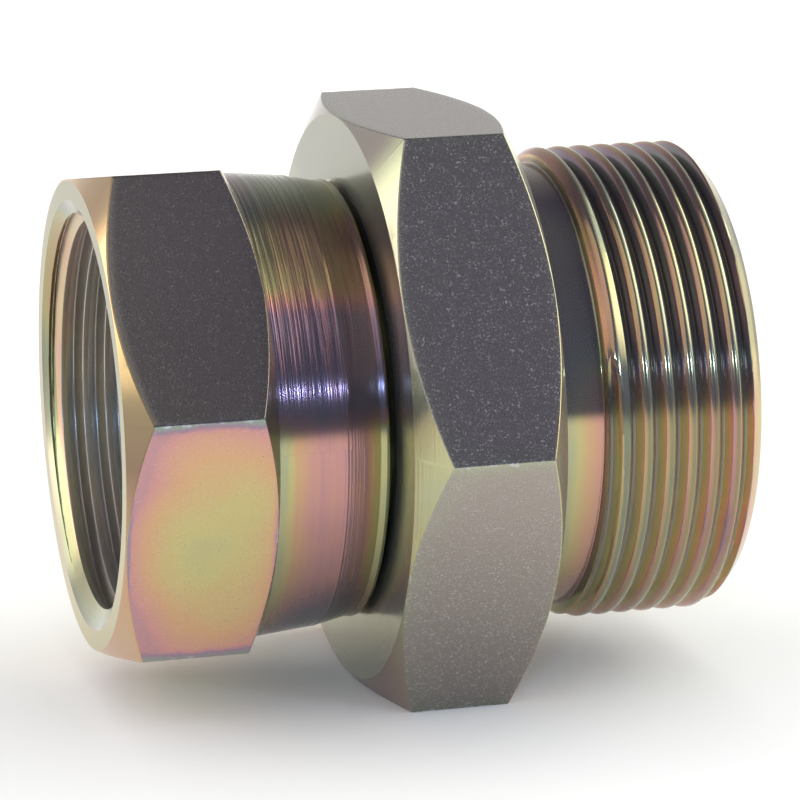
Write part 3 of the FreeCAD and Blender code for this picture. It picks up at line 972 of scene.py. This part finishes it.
def arched_sheet(name, radius, rises, rows, sides, columns, cover, stops):
    """Glowing sheet bent over the adapter, between two angles from the front floor.

    It reaches between two shares of its radius. Angles below zero are on the floor in front.
    """
    near = 0.17
    ground = body_low.z + 0.2 * MM
    points, places, faces = [], [], []
    for row in range(rows + 1):
        over = row / rows
        rise = rises[0] + (rises[1] - rises[0]) * over
        plan = near + (radius - near) * (rise + 10.0) / 10.0 if rise < 0.0 else radius
        turned = math.radians(max(rise, 0.0))
        for column in range(columns + 1):
            side = sides[0] + (sides[1] - sides[0]) * column / columns
            depth = plan * math.sqrt(1 - side * side)
            points.append((side * plan, -depth * math.cos(turned), depth * math.sin(turned) + ground))
            places.append((cover(rise, side), over))
    for row in range(rows):
        for column in range(columns):
            corner = row * (columns + 1) + column
            faces.append((corner, corner + 1, corner + columns + 2, corner + columns + 1))
    soft_sheet(name, points, places, faces, stops)


def hood(level):
    """Dark hood with soft edges, from the floor in front over the top to the back."""
    dark = (level, 0.92 * level, 1.6 * level)
    arched_sheet("hood", 1.2, (-10.0, 176.0), 93, (-0.995, 0.995), 64, hood_cover, [
        (0.0, dark),
        (0.70, dark),
        (0.79, (0.19, 0.19, 0.21)),
        (0.855, (0.36, 0.36, 0.37)),
        (1.0, (0.60, 0.60, 0.60)),
    ])


def window(level):
    """Bright window on the right, which draws the long highlights on the ridges and on the nut's lip."""
    arched_sheet("window", 1.15, (24.0, 100.0), 30, (0.5, 0.99), 24, window_cover, [
        (0.0, (level, 0.70 * level, 0.62 * level)),
        (0.4, (level, 0.97 * level, 0.95 * level)),
        (0.7, (level, 0.97 * level, 0.92 * level)),
        (1.0, (level, 0.76 * level, 0.52 * level)),
    ])


def area_lamp(name, direction, distance, size, level, tone):
    """Rectangular lamp that faces the adapter from a direction. A level of 1 is as bright as white paper."""
    lamp = bpy.data.lights.new(name, "AREA")
    lamp.shape = "RECTANGLE"
    lamp.size, lamp.size_y = size
    lamp.energy = level * math.pi * size[0] * size[1]
    lamp.color = tone
    holder = bpy.data.objects.new(name, lamp)
    where = Vector(direction).normalized() * distance
    holder.matrix_world = Matrix.Translation(where) @ where.to_track_quat("Z", "Y").to_matrix().to_4x4()
    bpy.context.scene.collection.objects.link(holder)


class ADAPTER_OT_stage(bpy.types.Operator):
    """Set up the floor, the white surroundings, the lamps and the camera"""
    bl_idname = "adapter.stage"
    bl_label = "Stage"

    def execute(self, context):
        scene = context.scene
        settings = scene.adapter_stage
        scene.view_settings.view_transform = "Standard"

        reach = 6.0
        ground = body_low.z
        mesh = bpy.data.meshes.new("floor")
        mesh.from_pydata([(-reach, -reach, ground), (reach, -reach, ground), (reach, reach, ground),
                          (-reach, reach, ground)], [], [(0, 1, 2, 3)])
        mesh.materials.append(floor_material())
        floor = bpy.data.objects.new("floor", mesh)
        scene.collection.objects.link(floor)

        world = bpy.data.worlds.new("White surroundings")
        world.use_nodes = True
        tree = world.node_tree
        light = tree.nodes["Background"]
        light.inputs["Color"].default_value = (1.0, 0.99, 0.97, 1.0)
        light.inputs["Strength"].default_value = settings.world_level
        white = tree.nodes.new("ShaderNodeBackground")
        white.inputs["Color"].default_value = (1.0, 1.0, 1.0, 1.0)
        seen = show_background(tree, light.outputs[0], white.outputs[0])
        tree.links.new(seen, tree.nodes["World Output"].inputs[0])
        scene.world = world

        hood(settings.shade_level)
        window(settings.window_level)
        glint, small = settings.glint_level, (0.05, 0.035)
        area_lamp("glint_lamp", (0.60, -0.76, 0.235), 0.8, small, glint, (0.42, 0.62, 1.0))
        area_lamp("front_glint_lamp", (-0.35, -0.90, 0.28), 0.8, small, glint, (0.34, 0.62, 1.0))
        area_lamp("left_lamp", (-0.80, 0.50, 0.25), 1.3, (0.8, 0.8), settings.left_level, (1.0, 0.93, 0.80))
        area_lamp("right_lamp", (0.84, 0.18, 0.44), 1.1, (1.2, 0.55), settings.right_level,
                  (1.0, 0.98, 0.88))

        lens = bpy.data.cameras.new("camera")
        lens.sensor_width = 36.0
        lens.sensor_fit = "HORIZONTAL"
        lens.lens = settings.focal_length
        lens.clip_start = 0.01
        camera = bpy.data.objects.new("camera", lens)
        flat = math.cos(settings.camera_elevation)
        back = Vector((-flat * math.sin(settings.camera_azimuth), -flat * math.cos(settings.camera_azimuth),
                       math.sin(settings.camera_elevation)))
        where = Vector(settings.camera_target) + back * settings.camera_distance
        upright = back.to_track_quat("Z", "Y").to_matrix()
        turned = upright @ Matrix.Rotation(settings.camera_roll, 3, "Z")
        camera.matrix_world = Matrix.Translation(where) @ turned.to_4x4()
        scene.collection.objects.link(camera)
        scene.camera = camera
        return {"FINISHED"}


class ADAPTER_PT_panel(bpy.types.Panel):
    """Sidebar panel with a button for each piece and for the stage"""
    bl_idname = "ADAPTER_PT_panel"
    bl_label = "Threaded pipe adapter"
    bl_space_type = "VIEW_3D"
    bl_region_type = "UI"
    bl_category = "Adapter"

    def draw(self, context):
        layout = self.layout
        for operator, group in ((ADAPTER_OT_body, "adapter_body"), (ADAPTER_OT_swivel_nut, "adapter_nut"),
                                (None, "adapter_finish"), (ADAPTER_OT_stage, "adapter_stage")):
            box = layout.box()
            settings = getattr(context.scene, group)
            for name in settings.bl_rna.properties.keys():
                if name not in ("name", "rna_type"):
                    box.prop(settings, name)
            if operator:
                box.operator(operator.bl_idname)


CLASSES = (BodySizes, NutSizes, Finish, Stage, ADAPTER_OT_body, ADAPTER_OT_swivel_nut, ADAPTER_OT_stage,
           ADAPTER_PT_panel)


def register():
    """Register the classes and hang the settings on the scene."""
    for made in CLASSES:
        bpy.utils.register_class(made)
    bpy.types.Scene.adapter_body = PointerProperty(type=BodySizes)
    bpy.types.Scene.adapter_nut = PointerProperty(type=NutSizes)
    bpy.types.Scene.adapter_finish = PointerProperty(type=Finish)
    bpy.types.Scene.adapter_stage = PointerProperty(type=Stage)


def unregister():
    """Take the settings and the classes away again."""
    del bpy.types.Scene.adapter_stage
    del bpy.types.Scene.adapter_finish
    del bpy.types.Scene.adapter_nut
    del bpy.types.Scene.adapter_body
    for made in reversed(CLASSES):
        bpy.utils.unregister_class(made)


def main():
    """Build the adapter and its stage."""
    register()
    bpy.ops.adapter.body()
    bpy.ops.adapter.swivel_nut()
    bpy.ops.adapter.stage()


if __name__ == "__main__":
    main()
